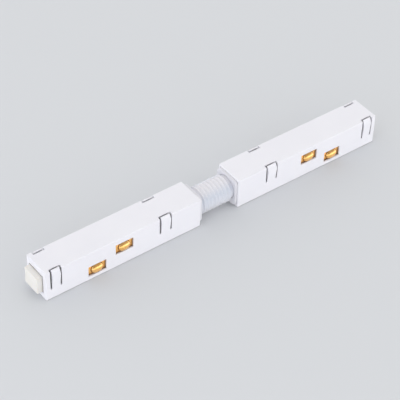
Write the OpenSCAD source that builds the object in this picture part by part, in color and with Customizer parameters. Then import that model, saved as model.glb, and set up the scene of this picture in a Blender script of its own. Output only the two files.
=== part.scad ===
// Flexible power feed for a low-voltage lighting track: two snap-in plug bars with
// sprung side contacts, joined by a short corrugated conduit that carries the cores.
// X runs along the bars, Z is up, and the origin is midway between the bars on their base plane.

/* [Plug bars] */
// Length of one bar's housing
bar_l = 109.2; // [98:0.1:140]
// Width of a bar across its contacts
bar_w = 20; // [18:0.1:23]
// Height of a bar from its cover to its top
bar_h = 21.1; // [19:0.1:24]
// Clear distance between the two housings
bar_gap = 28.1; // [24:0.1:40]
// Thickness of the housing's two side walls
side_wall = 1.2; // [1:0.05:1.4]
// Thickness of the housing's top wall
top_wall = 1.4; // [1:0.05:1.6]
// Thickness of the housing's outer end wall
end_wall = 1.6; // [1.2:0.1:2.4]
// Radius of the long outer edges
edge_r = 0.6; // [0.3:0.05:0.9]
// Chamfer of the edges round the two ends
end_chamfer = 0.5; // [0.2:0.05:0.8]

/* [Snap tongues] */
// Distance from the housing's inner end to the middle of the first tongue
inner_tongue_at = 25.7; // [22:0.1:28]
// Distance from the housing's outer end to the middle of the second tongue
outer_tongue_in = 7.1; // [6:0.1:10]
// Width of the first tongue
inner_tongue_w = 6.5; // [5:0.1:7.5]
// Width of the second tongue
outer_tongue_w = 5.6; // [5:0.1:7]
// Height at which the first tongue grows out of the wall
inner_tongue_root = 9; // [8:0.1:11]
// Height at which the second tongue grows out of the wall
outer_tongue_root = 7.2; // [6.9:0.1:10]
// Width of the slot that frees a tongue
slot_w = 1.1; // [0.8:0.05:1.4]
// Distance from the long edge to the slot's far side on the top wall
slot_reach = 2.5; // [2.3:0.05:3]
// How far a tongue's crest stands out of the side wall
crest_out = 0.8; // [0.4:0.05:1.2]
// Depth of the crest below the top
crest_down = 3.6; // [3:0.1:5]
// How far the lead-in ramp has run inside the side wall at the top
ramp_in = 0.6; // [0.3:0.05:0.9]

/* [Contact windows] */
// Distance from the housing's inner end to the middle of the upper window
upper_window_at = 55.1; // [53:0.1:57]
// Distance from the middle of the upper window to the middle of the lower one, along the bar
window_pitch = 19; // [17.5:0.1:21]
// Distance from the bar's top down to the upper window's upper edge
upper_window_down = 3.95; // [3.5:0.05:4.4]
// Height of the lower window's lower edge above the base plane
lower_window_up = 2.8; // [2.6:0.05:3.3]
// Length of a window
window_l = 12.4; // [10:0.1:13]
// Height of a window
window_h = 7.4; // [6.8:0.1:7.6]

/* [Contacts] */
// Thickness of the contact sheet
contact_t = 0.4; // [0.3:0.05:0.5]
// Lap of the contact plate behind each end of its window
contact_lap_l = 1.5; // [1:0.1:1.6]
// Lap of the contact plate above and below its window
contact_lap_h = 0.9; // [0.6:0.05:0.9]
// How far the dome's crown stands out of the side wall
crown_out = 1; // [0.8:0.05:1.3]
// Inward travel of a contact
contact_travel = 0.8; // [0.4:0.05:1]
// Gap above and below the dome in its window
dome_fit = 0.25; // [0.2:0.05:0.4]
// Length of the dome
dome_l = 8.3; // [7.6:0.1:9.4]
// Radius of the dome's crown, which its rounded shoulders run out of
crown_r = 6.3; // [5:0.1:9]
// Length of the contact's bent legs
leg_l = 3.7; // [3:0.1:4]
// Height of the contact's bent legs
leg_h = 4; // [3:0.1:5]

/* [Bottom cover] */
// Thickness of the cover
cover_t = 1.5; // [1.2:0.05:1.6]
// Gap round the cover
cover_fit = 0.1; // [0.05:0.01:0.2]
// Distance from the housing's inner end to the middle of the first pair of snap hooks
first_hook_at = 14; // [12:0.1:16]
// Height of a snap hook above the cover
hook_h = 5.1; // [4.5:0.1:5.3]
// Width of a snap hook
hook_w = 6; // [4:0.1:7]
// Thickness of a snap hook's leg
hook_t = 1.3; // [1:0.05:1.5]
// Height of the bead at a hook's tip
bead_h = 1.3; // [1:0.05:1.6]
// How far a hook's bead reaches into the side wall
bead_in = 0.35; // [0.2:0.05:0.4]

/* [Contact carrier] */
// Distance from a bar's side to the side of the carrier's spine and nose
nose_side_in = 3.55; // [3.2:0.05:4.5]
// Distance from a bar's top and base to the spine and nose
nose_top_in = 4.65; // [4.2:0.05:5]
// How far the nose stands out of the end wall
nose_out = 3.8; // [2:0.1:6]
// Chamfer round the nose's end
nose_chamfer = 0.6; // [0.3:0.05:1]
// Gap round the nose in the end wall
nose_fit = 0.5; // [0.2:0.05:0.7]
// Distance from the ends of the bare conductors to the start of the spine
spine_clear = 0.8; // [0.4:0.1:2]
// Thickness of the spine's side walls
spine_wall = 1.6; // [1.2:0.1:2]
// Thickness of the spine's cross webs
web_t = 1.4; // [1:0.1:2]
// Number of cross webs between the spine's inner end and the contact block
webs = 2; // [1:1:4]
// Material between a contact pocket and the end of the contact block
block_margin = 2; // [1.5:0.1:2.4]
// Thickness of the housing's ribs that stop the contact block at each end
stop_rib_t = 1.2; // [0.8:0.1:1.6]
// How far the stop ribs stand in from the side walls
stop_rib_in = 1.4; // [1:0.1:2]
// Distance from a stop rib to the next snap hook
hook_clear = 2; // [1:0.1:3]

/* [Conduit cap] */
// Distance from a bar's side to the flange's edge
flange_side_in = 1; // [0.7:0.05:1.2]
// Distance from a bar's top down to the flange's edge
flange_top_in = 0.75; // [0.5:0.05:1]
// Height of the flange's lower edge above the base plane
flange_base_in = 1.25; // [1:0.05:1.5]
// Thickness of the cap's flange
flange_t = 1.7; // [1:0.1:2.4]
// Corner radius of the cap's flange
flange_r = 3; // [1.5:0.1:3.4]
// Depth of the cap's plug inside the housing
plug_t = 2; // [1.8:0.1:3]
// Radius of the snap bead on each side of the plug
plug_bead_r = 0.35; // [0.2:0.05:0.45]
// Distance from the ends of the snap bead to the plug's top and bottom
plug_bead_margin = 1; // [0.5:0.1:3]

/* [Conduit] */
// Gap between the conduit's collar and the nearest wall of the housing
collar_fit = 0.4; // [0.2:0.05:0.8]
// Distance from ring to ring
ring_pitch = 2.7; // [2.4:0.1:3.2]
// Least length of bare neck between the last ring and a cap
neck_show = 1.6; // [1:0.1:2.6]
// Radius of a ring's rounded crest
ring_r = 0.9; // [0.7:0.05:1.1]
// Depth of the grooves between the rings
groove_depth = 0.6; // [0.4:0.05:0.7]
// Depth of the neck that sits in a cap
neck_depth = 1.1; // [0.9:0.05:1.3]
// Wall of the conduit
conduit_wall = 0.9; // [0.7:0.05:1]
// Length of the collar that holds the conduit behind a cap
collar_l = 2; // [1.2:0.1:2.6]
// Depth of the collar below the rings
collar_depth = 0.4; // [0.3:0.05:0.8]

/* [Cores and bus strips] */
// Diameter of a core over its insulation
core_d = 2.4; // [1.8:0.1:2.8]
// Diameter of a core's bare conductor
conductor_d = 1.4; // [1:0.1:1.6]
// Length of bare conductor on a solder lug
conductor_l = 3; // [2:0.1:3.4]
// Thickness of a bus strip
bus_t = 0.8; // [0.5:0.05:1]
// Distance from a bus's cross plate to the floor of the contact's pocket
bus_cover = 0.6; // [0.4:0.05:1]
// Width of a bus strip
bus_w = 5; // [4:0.1:6]
// Distance from the housing's inner end to a bus strip's solder lug
lug_at = 5.2; // [5:0.1:6]

/* [Hidden] */
$fn = 64;
running_gap = 0.05;
seat_gap = 0.1;
over = 1;
half_gap = bar_gap / 2;
outer_tongue_at = bar_l - outer_tongue_in;
lower_window_at = upper_window_at + window_pitch;
upper_window_z = bar_h - upper_window_down - window_h / 2;
lower_window_z = lower_window_up + window_h / 2;
inner_w = bar_w - 2 * side_wall;
cavity_top = bar_h - top_wall;
side_y = bar_w / 2;
wall_y = inner_w / 2;
inner_z = bar_h / 2;
plate_l = window_l + 2 * contact_lap_l;
plate_h = window_h + 2 * contact_lap_h;
plate_y = wall_y - running_gap;
dome_half = window_h / 2 - dome_fit;
dome_rise = side_y + crown_out - plate_y;
shoulder_r = (2 * crown_r * dome_rise - dome_rise ^ 2 - dome_half ^ 2) / (2 * (crown_r - dome_half));
dome_spine = dome_l / 2 - dome_half;
pocket_y = plate_y - contact_t - contact_travel - seat_gap;
block_start = upper_window_at - plate_l / 2 - block_margin;
block_end = lower_window_at + plate_l / 2 + block_margin;
block_bottom = cover_t + seat_gap;
block_top = cavity_top - seat_gap;
nose_w = bar_w - 2 * nose_side_in;
nose_h = bar_h - 2 * nose_top_in;
nose_bottom = inner_z - nose_h / 2;
nose_top = inner_z + nose_h / 2;
spine_at = lug_at + conductor_l + spine_clear;
spine_roof = upper_window_z - bus_t / 2 - spine_wall / 2;
rib_start = block_start - seat_gap - stop_rib_t;
rib_end = block_end + seat_gap;
hook_gap = 0.2;
hook_places = [
    first_hook_at,
    rib_start - hook_clear - hook_w / 2,
    rib_end + stop_rib_t + hook_clear + hook_w / 2
];
plug_bottom = cover_t + seat_gap;
plug_top = cavity_top - seat_gap;
plug_w = inner_w - 2 * seat_gap;
plug_bead_at = plug_t / 2;
web_places = [for (i = [1:webs]) spine_at + i * (block_start - spine_at) / (webs + 1)];
flange_w = bar_w - 2 * flange_side_in;
flange_h = bar_h - flange_top_in - flange_base_in;
conduit_z = flange_base_in + flange_h / 2;
collar_r = min(wall_y, cavity_top - conduit_z) - collar_fit;
conduit_r = collar_r + collar_depth;
groove_r = conduit_r - groove_depth;
neck_r = conduit_r - neck_depth;
cap_face = half_gap - flange_t;
collar_at = half_gap + plug_t + running_gap;
rings = floor((2 * (cap_face - neck_show - ring_r)) / ring_pitch) + 1;
ring_places = [for (i = [0:rings - 1]) (i - (rings - 1) / 2) * ring_pitch];
ring_end = (rings - 1) / 2 * ring_pitch + ring_r;

// A bar is drawn for the right-hand side, with its inner end at x = 0, and put in its place
module on_right() translate([half_gap, 0, 0]) children();
module on_left() mirror([1, 0, 0]) on_right() children();

// Both long sides of a bar, from what is drawn for the +Y side
module both_sides() {
    children();
    mirror([0, 1, 0]) children();
}

// A profile drawn in Y and Z, run along X from a start over a length
module along_x(start, length) translate([start, 0, 0])
    rotate([90, 0, 90]) linear_extrude(length) children();

// A rounded rectangle about the origin, with true arcs at its corners
module rounded_rect(w, h, r) {
    square([w - 2 * r, h], center = true);
    square([w, h - 2 * r], center = true);
    for (x = [-1, 1], y = [-1, 1]) translate([x * (w / 2 - r), y * (h / 2 - r)]) circle(r);
}

// A rectangle with its four corners cut off
module chamfered_rect(w, h, c) polygon([
    [-w / 2, -h / 2 + c], [-w / 2 + c, -h / 2], [w / 2 - c, -h / 2], [w / 2, -h / 2 + c],
    [w / 2, h / 2 - c], [w / 2 - c, h / 2], [-w / 2 + c, h / 2], [-w / 2, h / 2 - c]
]);

// A box given by its two corners
module box_between(low, high) translate(low) cube(high - low);

// The housing's outer form: long edges rounded, end edges chamfered
module bar_form() intersection() {
    along_x(0, bar_l) translate([0, inner_z]) rounded_rect(bar_w, bar_h, edge_r);
    translate([bar_l / 2, 0, inner_z]) rotate([90, 0, 0])
        linear_extrude(bar_w + 2 * over, center = true) chamfered_rect(bar_l, bar_h, end_chamfer);
    translate([bar_l / 2, 0, -over])
        linear_extrude(bar_h + 2 * over) chamfered_rect(bar_l, bar_w, end_chamfer);
}

// The U-shaped slot that frees a tongue: across the top wall, over the edge and down the side
module tongue_slot(at, width, root) {
    box_between([at - width / 2 - slot_w, side_y - slot_reach, cavity_top - over],
        [at + width / 2 + slot_w, side_y - slot_reach + slot_w, bar_h + over]);
    for (side = [-1, 1]) translate([at + side * (width + slot_w) / 2, 0, 0]) {
        box_between([-slot_w / 2, side_y - slot_reach, root + slot_w / 2],
            [slot_w / 2, side_y + over, bar_h + over]);
        translate([0, side_y - slot_reach, root + slot_w / 2]) rotate([-90, 0, 0])
            cylinder(h = slot_reach + over, d = slot_w);
    }
}

// The height at which the lead-in ramp crosses the side wall's plane
function ramp_cross() = bar_h - crest_down * ramp_in / (crest_out + ramp_in);

// What the ramp takes off the tongue's tip
module ramp_cut(at, width) along_x(at - width / 2 - slot_w / 2, width + slot_w) polygon([
    [side_y, ramp_cross()], [side_y - ramp_in, bar_h], [side_y - ramp_in, bar_h + over],
    [side_y + over, bar_h + over], [side_y + over, ramp_cross()]
]);

// The catch on a tongue: a slow rise to the crest, then the lead-in ramp
module catch(at, width, root) along_x(at - width / 2, width) polygon([
    [side_y - side_wall / 2, root + slot_w], [side_y, root + slot_w],
    [side_y + crest_out, bar_h - crest_down], [side_y, ramp_cross()],
    [side_y - side_wall / 2, ramp_cross()]
]);

// The two windows in the side wall that a bar's contacts show through
module windows() for (w = [[upper_window_at, upper_window_z], [lower_window_at, lower_window_z]])
    box_between([w[0] - window_l / 2, wall_y - over, w[1] - window_h / 2],
        [w[0] + window_l / 2, side_y + over, w[1] + window_h / 2]);

// The recesses in the side wall that the cover's beads click into
module hook_recesses() for (at = hook_places)
    box_between([at - hook_w / 2 - hook_gap, wall_y - over, cover_t + hook_h - bead_h - 2 * hook_gap],
        [at + hook_w / 2 + hook_gap, wall_y + bead_in + seat_gap, cover_t + hook_h + hook_gap]);

// The groove in the side wall that the cap's bead clicks into
module cap_groove() {
    margin = plug_bead_margin - running_gap;
    translate([plug_bead_at, wall_y, plug_bottom + margin])
        cylinder(h = plug_top - plug_bottom - 2 * margin, r = plug_bead_r + running_gap);
}

// Moulded shell: top, side and end walls in one piece, with four snap tongues and four windows
module housing() color("white") {
    difference() {
        bar_form();
        box_between([-over, -wall_y, -over], [bar_l - end_wall, wall_y, cavity_top]);
        box_between([bar_l - end_wall - over, -nose_w / 2 - nose_fit, nose_bottom - nose_fit],
            [bar_l + over, nose_w / 2 + nose_fit, nose_top + nose_fit]);
        both_sides() {
            windows();
            hook_recesses();
            cap_groove();
            tongue_slot(inner_tongue_at, inner_tongue_w, inner_tongue_root);
            tongue_slot(outer_tongue_at, outer_tongue_w, outer_tongue_root);
            ramp_cut(inner_tongue_at, inner_tongue_w);
            ramp_cut(outer_tongue_at, outer_tongue_w);
        }
    }
    both_sides() {
        catch(inner_tongue_at, inner_tongue_w, inner_tongue_root);
        catch(outer_tongue_at, outer_tongue_w, outer_tongue_root);
        for (at = [rib_start, rib_end])
            box_between([at, wall_y - stop_rib_in, cover_t + 2 * seat_gap],
                [at + stop_rib_t, wall_y + side_wall / 2, cavity_top + top_wall / 2]);
    }
}

// One snap hook of the cover, drawn for the +Y side
module hook(at) {
    leg_y = wall_y - hook_gap;
    box_between([at - hook_w / 2, leg_y - hook_t, cover_t / 2], [at + hook_w / 2, leg_y, cover_t + hook_h]);
    along_x(at - hook_w / 2, hook_w) polygon([
        [leg_y - hook_t / 2, cover_t + hook_h - bead_h], [leg_y, cover_t + hook_h - bead_h],
        [wall_y + bead_in, cover_t + hook_h - bead_h + hook_gap],
        [wall_y + bead_in, cover_t + hook_h - bead_h + 2 * hook_gap],
        [leg_y, cover_t + hook_h], [leg_y - hook_t / 2, cover_t + hook_h]
    ]);
}

// Flush snap-in cover that closes the bar from below
module bottom_cover() color("white") {
    box_between([0, -wall_y + cover_fit, 0], [bar_l - end_wall - cover_fit, wall_y - cover_fit, cover_t]);
    both_sides() for (at = hook_places) hook(at);
}

// The pockets in the carrier for one row's contact: plate room and a slot for each bent leg
module contact_pocket(at, z) {
    box_between([at - plate_l / 2 - seat_gap, pocket_y, z - plate_h / 2 - seat_gap],
        [at + plate_l / 2 + seat_gap, wall_y + over, z + plate_h / 2 + seat_gap]);
    for (side = [-1, 1]) translate([at + side * (plate_l - contact_t) / 2, 0, z])
        box_between([-contact_t / 2 - seat_gap, plate_y - contact_t - leg_l - contact_travel - seat_gap,
                -leg_h / 2 - seat_gap],
            [contact_t / 2 + seat_gap, pocket_y + over, leg_h / 2 + seat_gap]);
}

// The opening under the lower pocket, which the plate's edge reaches down to
module pocket_mouth(at) box_between([at - plate_l / 2 - seat_gap, pocket_y, block_bottom - over],
    [at + plate_l / 2 + seat_gap, wall_y + over, lower_window_z]);

// Bus strip: a solder lug, a long strip and the cross plate that the contacts' legs wipe
module bus_form(at, z, grow) {
    box_between([lug_at - grow, -bus_w / 2 - grow, z - bus_t / 2 - grow],
        [at, bus_w / 2 + grow, z + bus_t / 2 + grow]);
    cross_l = plate_l / 2 - contact_t - running_gap + grow;
    cross_w = pocket_y - bus_cover + grow;
    box_between([at - cross_l, -cross_w, z - bus_t / 2 - grow],
        [at + cross_l, cross_w, z + bus_t / 2 + grow]);
}

// The spine's outer form, which ends in the chamfered nose
module spine_form() {
    length = bar_l + nose_out - spine_at;
    translate([spine_at + length / 2, 0, inner_z]) intersection() {
        cube([length, nose_w, nose_h], center = true);
        translate([-nose_chamfer / 2, 0, 0]) rotate([90, 0, 0]) linear_extrude(nose_w + over, center = true)
            chamfered_rect(length + nose_chamfer, nose_h, nose_chamfer);
        translate([-nose_chamfer / 2, 0, -nose_h]) linear_extrude(2 * nose_h)
            chamfered_rect(length + nose_chamfer, nose_w, nose_chamfer);
    }
}

// The cored-out channel under the spine, between its webs and beyond the contact block
module spine_channel() {
    channel_y = nose_w / 2 - spine_wall;
    edges = concat([spine_at], web_places, [block_start]);
    for (i = [0:len(edges) - 2])
        box_between([edges[i] + web_t / 2, -channel_y, nose_bottom - over],
            [edges[i + 1] - web_t / 2, channel_y, spine_roof]);
    box_between([block_end + web_t, -channel_y, nose_bottom - over],
        [bar_l - end_wall - 2 * web_t, channel_y, spine_roof]);
}

// Insulating carrier in one moulding: spine, contact block and the nose seen at the bar's end
module contact_carrier() color("ivory") difference() {
    union() {
        difference() {
            spine_form();
            spine_channel();
        }
        box_between([block_start, -wall_y + seat_gap, block_bottom],
            [block_end, wall_y - seat_gap, block_top]);
    }
    both_sides() {
        contact_pocket(upper_window_at, upper_window_z);
        contact_pocket(lower_window_at, lower_window_z);
        pocket_mouth(lower_window_at);
    }
    bus_form(upper_window_at, upper_window_z, running_gap);
    bus_form(lower_window_at, lower_window_z, running_gap);
}

module upper_bus() color("goldenrod") bus_form(upper_window_at, upper_window_z, 0);
module lower_bus() color("goldenrod") bus_form(lower_window_at, lower_window_z, 0);

// Half of the dome's section: the crown's arc and the shoulder's arc, which meet on the line
// through both centres, and the straight stretch down through the plate
module dome_section(shrink) {
    crown = [0, dome_rise - crown_r];
    shoulder = [dome_half - shoulder_r, 0];
    reach = 2 * crown_r / (crown_r - shoulder_r);
    depth = contact_t + (shrink > 0 ? over : 0);
    intersection() {
        union() {
            translate(shoulder) circle(shoulder_r - shrink);
            intersection() {
                translate(crown) circle(crown_r - shrink, $fn = 128);
                polygon([crown, crown + reach * (shoulder - crown), [0, 2 * crown_r]]);
            }
        }
        square(2 * dome_half);
    }
    translate([0, -depth]) square([dome_half - shrink, depth]);
}

// The dome's outer or inner form: its section run along the spine and turned round both ends
module dome(shrink) {
    along_x(-dome_spine, 2 * dome_spine) translate([plate_y, 0])
        for (flip = [0, 1]) mirror([0, flip]) mirror([1, -1]) dome_section(shrink);
    for (side = [-1, 1]) translate([side * dome_spine, plate_y, 0]) rotate([-90, 0, 0]) rotate(-90 * side)
        rotate_extrude(angle = 180) dome_section(shrink);
}

// Pressed brass contact: a plate behind the window, an oblong dome and two bent legs
module contact(at, z) color("goldenrod") translate([at, 0, z]) {
    difference() {
        union() {
            box_between([-plate_l / 2, plate_y - contact_t, -plate_h / 2],
                [plate_l / 2, plate_y, plate_h / 2]);
            dome(0);
        }
        dome(contact_t);
    }
    for (side = [-1, 1]) translate([side * (plate_l - contact_t) / 2, 0, 0])
        box_between([-contact_t / 2, plate_y - contact_t - leg_l, -leg_h / 2],
            [contact_t / 2, plate_y - contact_t / 2, leg_h / 2]);
}

module upper_contact() contact(upper_window_at, upper_window_z);
module lower_contact() contact(lower_window_at, lower_window_z);

// Cap that closes the bar's inner end and grips the conduit's neck
module conduit_cap() color("white") {
    difference() {
        union() {
            along_x(-flange_t, flange_t) translate([0, conduit_z])
                rounded_rect(flange_w, flange_h, flange_r);
            box_between([-flange_t / 2, -plug_w / 2, plug_bottom], [plug_t, plug_w / 2, plug_top]);
            both_sides() translate([plug_bead_at, plug_w / 2, plug_bottom + plug_bead_margin])
                cylinder(h = plug_top - plug_bottom - 2 * plug_bead_margin, r = plug_bead_r);
        }
        translate([-flange_t - over, 0, conduit_z]) rotate([0, 90, 0])
            cylinder(h = flange_t + plug_t + 2 * over, r = neck_r + running_gap);
    }
}

// The conduit's half section: rings on a thin wall, a neck at each cap and a collar behind it.
// grow is 0 for the outside and minus the wall for the bore
module conduit_section(grow) {
    collar_end = collar_at + collar_l;
    translate([0, -ring_end]) square([groove_r + grow, 2 * ring_end]);
    for (y = ring_places) translate([groove_r + groove_depth - ring_r, y]) circle(ring_r + grow, $fn = 48);
    translate([0, -collar_end - (grow < 0 ? over : 0)])
        square([neck_r + grow, 2 * (collar_end + (grow < 0 ? over : 0))]);
    if (grow == 0)
        for (side = [-1, 1]) translate([0, side * (collar_at + collar_l / 2) - collar_l / 2])
            square([collar_r, collar_l]);
}

// Corrugated conduit, one soft moulding that bends
module conduit() color("gainsboro") translate([0, 0, conduit_z]) rotate([0, 90, 0]) rotate_extrude()
    difference() {
        conduit_section(0);
        conduit_section(-conduit_wall);
    }

// Insulated core from one bar's solder lug to the other's, with bare ends lying on the lugs
module core(z) {
    axis_z = z + bus_t / 2 + running_gap + conductor_d / 2;
    bare_start = half_gap + lug_at - running_gap;
    translate([0, 0, axis_z]) rotate([0, 90, 0]) {
        cylinder(h = 2 * bare_start, d = core_d, center = true);
        cylinder(h = 2 * (bare_start + conductor_l), d = conductor_d, center = true);
    }
}

module positive_core() color("firebrick") core(upper_window_z);
module negative_core() color("dimgray") core(lower_window_z);

on_left() housing();  // left_housing
on_left() bottom_cover();  // left_bottom_cover
on_left() contact_carrier();  // left_contact_carrier
on_left() conduit_cap();  // left_conduit_cap
on_left() upper_bus();  // left_upper_bus
on_left() lower_bus();  // left_lower_bus
on_left() mirror([0, 1, 0]) upper_contact();  // left_front_upper_contact
on_left() mirror([0, 1, 0]) lower_contact();  // left_front_lower_contact
on_left() upper_contact();  // left_back_upper_contact
on_left() lower_contact();  // left_back_lower_contact
on_right() housing();  // right_housing
on_right() bottom_cover();  // right_bottom_cover
on_right() contact_carrier();  // right_contact_carrier
on_right() conduit_cap();  // right_conduit_cap
on_right() upper_bus();  // right_upper_bus
on_right() lower_bus();  // right_lower_bus
on_right() mirror([0, 1, 0]) upper_contact();  // right_front_upper_contact
on_right() mirror([0, 1, 0]) lower_contact();  // right_front_lower_contact
on_right() upper_contact();  // right_back_upper_contact
on_right() lower_contact();  // right_back_lower_contact
conduit();
positive_core();
negative_core();
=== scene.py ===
# Flexible power feed for a low-voltage lighting track: finishes, modelled pieces, stage and camera.

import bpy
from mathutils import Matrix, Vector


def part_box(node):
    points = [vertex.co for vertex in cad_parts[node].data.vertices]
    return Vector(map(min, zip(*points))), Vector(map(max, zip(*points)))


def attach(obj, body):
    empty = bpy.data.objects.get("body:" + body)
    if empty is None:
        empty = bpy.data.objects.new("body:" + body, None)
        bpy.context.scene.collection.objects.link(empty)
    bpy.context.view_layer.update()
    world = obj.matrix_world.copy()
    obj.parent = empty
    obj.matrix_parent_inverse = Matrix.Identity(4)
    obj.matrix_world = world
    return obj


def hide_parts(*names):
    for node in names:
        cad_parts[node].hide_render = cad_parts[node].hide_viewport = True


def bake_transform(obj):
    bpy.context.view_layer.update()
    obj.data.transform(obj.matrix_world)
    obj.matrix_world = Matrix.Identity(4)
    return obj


bl_info = {
    "name": "Flexible Track Power Feed",
    "version": (1, 0, 0),
    "blender": (4, 5, 0),
    "location": "3D View > Sidebar > Power Feed",
    "description": "Finishes a flexible power feed for a lighting track and sets it on a studio stage",
    "category": "Add Mesh",
}

import math

import bpy
from bpy.props import FloatProperty, FloatVectorProperty, IntProperty, PointerProperty
from mathutils import Matrix, Vector

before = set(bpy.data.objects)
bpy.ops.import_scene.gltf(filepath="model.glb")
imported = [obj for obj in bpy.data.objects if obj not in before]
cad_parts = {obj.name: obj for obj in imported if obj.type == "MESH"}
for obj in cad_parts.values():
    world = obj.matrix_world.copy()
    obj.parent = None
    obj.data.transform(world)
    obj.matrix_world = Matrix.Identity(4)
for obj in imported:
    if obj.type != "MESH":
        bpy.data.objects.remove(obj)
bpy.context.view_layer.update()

MM = 0.001
QUARTER = math.pi / 2
SIDES = ("left", "right")
ROWS = ("front_upper", "front_lower", "back_upper", "back_lower")

CONDUIT_LOW, CONDUIT_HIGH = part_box("conduit")
CONDUIT_AXIS = Vector((0, 0, (CONDUIT_LOW.z + CONDUIT_HIGH.z) / 2))
CONDUIT_CREST = (CONDUIT_HIGH.z - CONDUIT_LOW.z) / 2
CAP_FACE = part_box("right_conduit_cap")[0].x

# Three quarters of the way up, where the painted shade on the conduit's flank is coolest
FLANK_SHADE_HEIGHT = CONDUIT_LOW.z + 0.75 * (CONDUIT_HIGH.z - CONDUIT_LOW.z)

# How the carried-over solids are softened: how near two points are one, how little a flat may bend,
# and how much an edge turns that is rounded or, after that, stays crisp
WELD_REACH = 0.002 * MM
FLAT_BEND = math.radians(0.5)
ROUNDED_TURN = math.radians(60)
CRISP_TURN = math.radians(48)

# Fineness of the turned pieces: their sides, the length of their steps, and the turn that stays crisp
CONDUIT_SIDES = 96
CONDUIT_STEPS_PER_RING = 18
CORE_SIDES = 24
CORE_STEP = 0.5 * MM
TURNED_CRISP_TURN = math.radians(50)

# Brightness of the tent as metal mirrors it, from straight below (0) by the horizon (0.5) to overhead
# (1): the shaded ground near the part, a lit strip below the horizon, then a wall that darkens upwards
MIRRORED_TENT = (
    (0.0, 0.75), (0.15, 0.87), (0.2, 0.97), (0.25, 1.1), (0.28, 1.5), (0.305, 3.3),
    (0.33, 2.8), (0.36, 1.3), (0.42, 0.9), (0.5, 0.65), (0.65, 0.56), (1.0, 0.58))

# The camera's sensor in millimetres, and how near and how far it sees in metres
SENSOR_WIDTH = 36
CLIP_NEAR, CLIP_FAR = 0.05, 20


def linear(code):
    """A colour written as sRGB hex, as the linear RGBA that a shader takes."""
    channels = [int(code[i:i + 2], 16) / 255 for i in (1, 3, 5)]
    return [c / 12.92 if c <= 0.04045 else ((c + 0.055) / 1.055) ** 2.4 for c in channels] + [1.0]


def length(name, description, size_mm):
    """A length that the user may change, given in millimetres."""
    return FloatProperty(
        name=name, description=description, default=size_mm * MM, min=0, precision=5,
        unit="LENGTH", subtype="DISTANCE")


def colour(name, description, code):
    """A colour that the user may change, given as sRGB hex."""
    return FloatVectorProperty(
        name=name, description=description, default=linear(code), size=4, min=0, max=1, subtype="COLOR")


def angle(name, description, degrees):
    """An angle that the user may change, given in degrees."""
    return FloatProperty(
        name=name, description=description, default=math.radians(degrees), subtype="ANGLE")


def power(name, description, watts):
    """A lamp's power that the user may change, in watts."""
    return FloatProperty(name=name, description=description, default=watts, min=0, unit="POWER")


class FeedMouldings(bpy.types.PropertyGroup):
    """Edges and colours of the moulded and stamped pieces."""

    housing_edge: length("Housing edge", "Edge radius of the housings and covers", 0.15)
    carrier_edge: length("Carrier edge", "Edge radius of the contact carriers", 0.15)
    strip_edge: length("Strip edge", "Edge radius that tumbling leaves on the bus strips", 0.06)
    white: colour("White", "Housings and covers", "#EFEEF3")
    flow_white: colour("Flow white", "White where the melt met and cooled last", "#EAE9EF")
    # Painted shade: slots, narrow gaps and the housing's inside are turned to this dark colour where
    # walls close round them
    gap: colour("Gap", "Plastic inside slots and narrow gaps, where light is lost", "#30261E")
    painted_shade_reach: length("Gap reach", "How near the walls of a gap have to be to darken it", 6)
    natural: colour("Natural", "Contact carriers", "#EDEAE6")
    deep_natural: colour("Deep natural", "Carriers where the wall is thick", "#E6E2DB")


class FeedCaps(bpy.types.PropertyGroup):
    """The conduit caps at the bars' inner ends."""

    flange_width: length("Flange width", "Width of the flange across the bar", 18)
    flange_corner: length("Flange corner", "Corner radius of the flange", 3)
    plug_corner: length("Plug corner", "Corner radius of the plug that fills the housing's end", 0.3)
    edge: length("Edge", "Edge radius of the flange and the plug", 0.2)
    bead: length("Bead", "Radius of the bead that clicks into the housing's groove", 0.35)
    bore_gap: length("Bore gap", "Gap between the bore and the conduit's neck", 0.05)
    # Painted shade: the caps' whites are greyer than the housings' to stand in for the shade that falls
    # on the flanges
    white: colour("White", "Conduit caps, a shade greyer than the housings", "#DFDEE3")
    flow_white: colour("Flow white", "Caps where the melt met and cooled last", "#D9D8DE")
    painted_shade_reach: length("Gap reach", "How near the walls of a gap have to be to darken it", 1.5)


class FeedConduit(bpy.types.PropertyGroup):
    """The soft corrugated conduit."""

    ring_pitch: length("Ring pitch", "Distance from ring to ring", 2.7)
    rings: IntProperty(name="Rings", description="Rings between the two necks", default=8, min=2)
    ring_foot: length("Ring foot", "Distance from a ring's crest to the foot of its flank", 1.2)
    groove_depth: length("Groove depth", "Depth of the grooves below the rings", 0.6)
    neck_depth: length("Neck depth", "Depth of the plain neck below the rings", 1.1)
    collar_depth: length("Collar depth", "Depth of the collar below the rings", 0.4)
    collar_length: length("Collar length", "Length of the collar behind each cap", 2)
    wall: length("Wall", "Thickness of the conduit's wall", 0.9)
    seam_step: length("Seam step", "Width of the narrow mesh step where two lengths meet", 0.02)
    # The vinyl's tints are painted light and shade by height: a lighter top, cooler shaded flanks and a
    # paler underside
    painted_top_light: colour("Above", "Soft vinyl along the top, where light falls through it", "#E3E1E6")
    painted_flank_shade: colour("Flank", "Soft vinyl on the flanks, with the dark bore behind it", "#D0D4DF")
    painted_under_light: colour("Below", "Soft vinyl along the underside, lit through from the ground", "#E6E4E7")


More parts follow.
